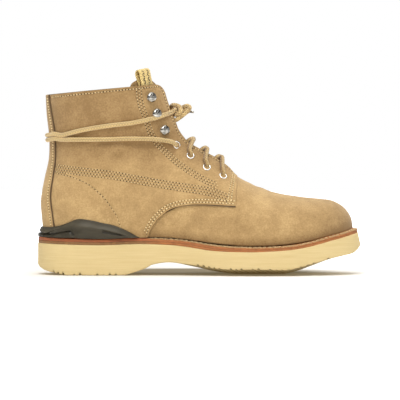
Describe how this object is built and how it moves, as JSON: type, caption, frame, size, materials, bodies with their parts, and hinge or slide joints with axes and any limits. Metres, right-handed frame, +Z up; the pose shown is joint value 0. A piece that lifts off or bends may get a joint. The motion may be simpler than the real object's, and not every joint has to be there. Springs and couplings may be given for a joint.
{
  "type": "work boot",
  "caption": "Ankle-high lace-up safety work boot with steel toe cap, stitched welt sole and moulded heel stabilizer.",
  "frame": {"origin": "centre of the flat heel tread, on the ground plane", "axes": "+X from heel to toe, +Y to the inner (medial) side, +Z up"},
  "size_m": [0.305, 0.1096, 0.1963],
  "materials": {
    "suede": "brushed nubuck leather",
    "lining": "woven lining",
    "fibreboard": "stiffener board",
    "steel": "pressed steel",
    "chrome": "bright plated",
    "brass": "plain brass",
    "dark_rubber": "moulded matt rubber",
    "sole_rubber": "cream blown rubber",
    "brown_leather": "waxed edge leather",
    "cork": "ground cork",
    "lace_cord": "braided round lace",
    "webbing": "woven loop",
    "lace_tip": "clear tip over cord"
  },
  "bodies": {
    "boot": {"outsole": "sole_rubber", "leather_midsole": "brown_leather", "welt": "brown_leather", "heel_stabilizer": "dark_rubber", "steel_shank": "steel", "cork_filler": "cork", "insole_board": "fibreboard", "vamp": "suede", "vamp_lining": "lining", "quarter_lateral": "suede", "quarter_medial": "suede", "quarter_lining_lateral": "lining", "quarter_lining_medial": "lining", "eyestay_lateral": "fibreboard", "eyestay_medial": "fibreboard", "backstay": "suede", "heel_counter": "fibreboard", "steel_toe_cap": "steel", "lace": "lace_cord", "lace_tip_lateral": "lace_tip", "lace_tip_medial": "lace_tip", "eyelet_lateral_1": "chrome", "eyelet_lateral_2": "chrome", "eyelet_lateral_3": "chrome", "eyelet_lateral_4": "chrome", "hook_lateral_1": "chrome", "hook_rivet_lateral_1": "brass", "hook_lateral_2": "chrome", "hook_rivet_lateral_2": "brass", "hook_lateral_3": "chrome", "hook_rivet_lateral_3": "brass", "eyelet_medial_1": "chrome", "eyelet_medial_2": "chrome", "eyelet_medial_3": "chrome", "eyelet_medial_4": "chrome", "hook_medial_1": "chrome", "hook_rivet_medial_1": "brass", "hook_medial_2": "chrome", "hook_rivet_medial_2": "brass", "hook_medial_3": "chrome", "hook_rivet_medial_3": "brass"},
    "tongue": {"tongue": "suede"},
    "pull_loop": {"tongue_loop": "webbing"},
    "footbed": {"footbed": "lining"}
  },
  "joints": [
    {"name": "tongue_fold", "type": "hinge", "parent": "boot", "child": "tongue", "pos_m": [0.138, 0, 0.0835], "axis": [0, -1, 0], "range_deg": [0, 10]},
    {"name": "loop_flex", "type": "hinge", "parent": "tongue", "child": "pull_loop", "pos_m": [0.05752, -0.01753, 0.18183], "axis": [0.5822, 0.8023, 0.1313], "range_deg": [0, 30]},
    {"name": "footbed_lift", "type": "hinge", "parent": "boot", "child": "footbed", "pos_m": [0.23, 0, 0.045], "axis": [0, 1, 0], "range_deg": [0, 8]}
  ]
}
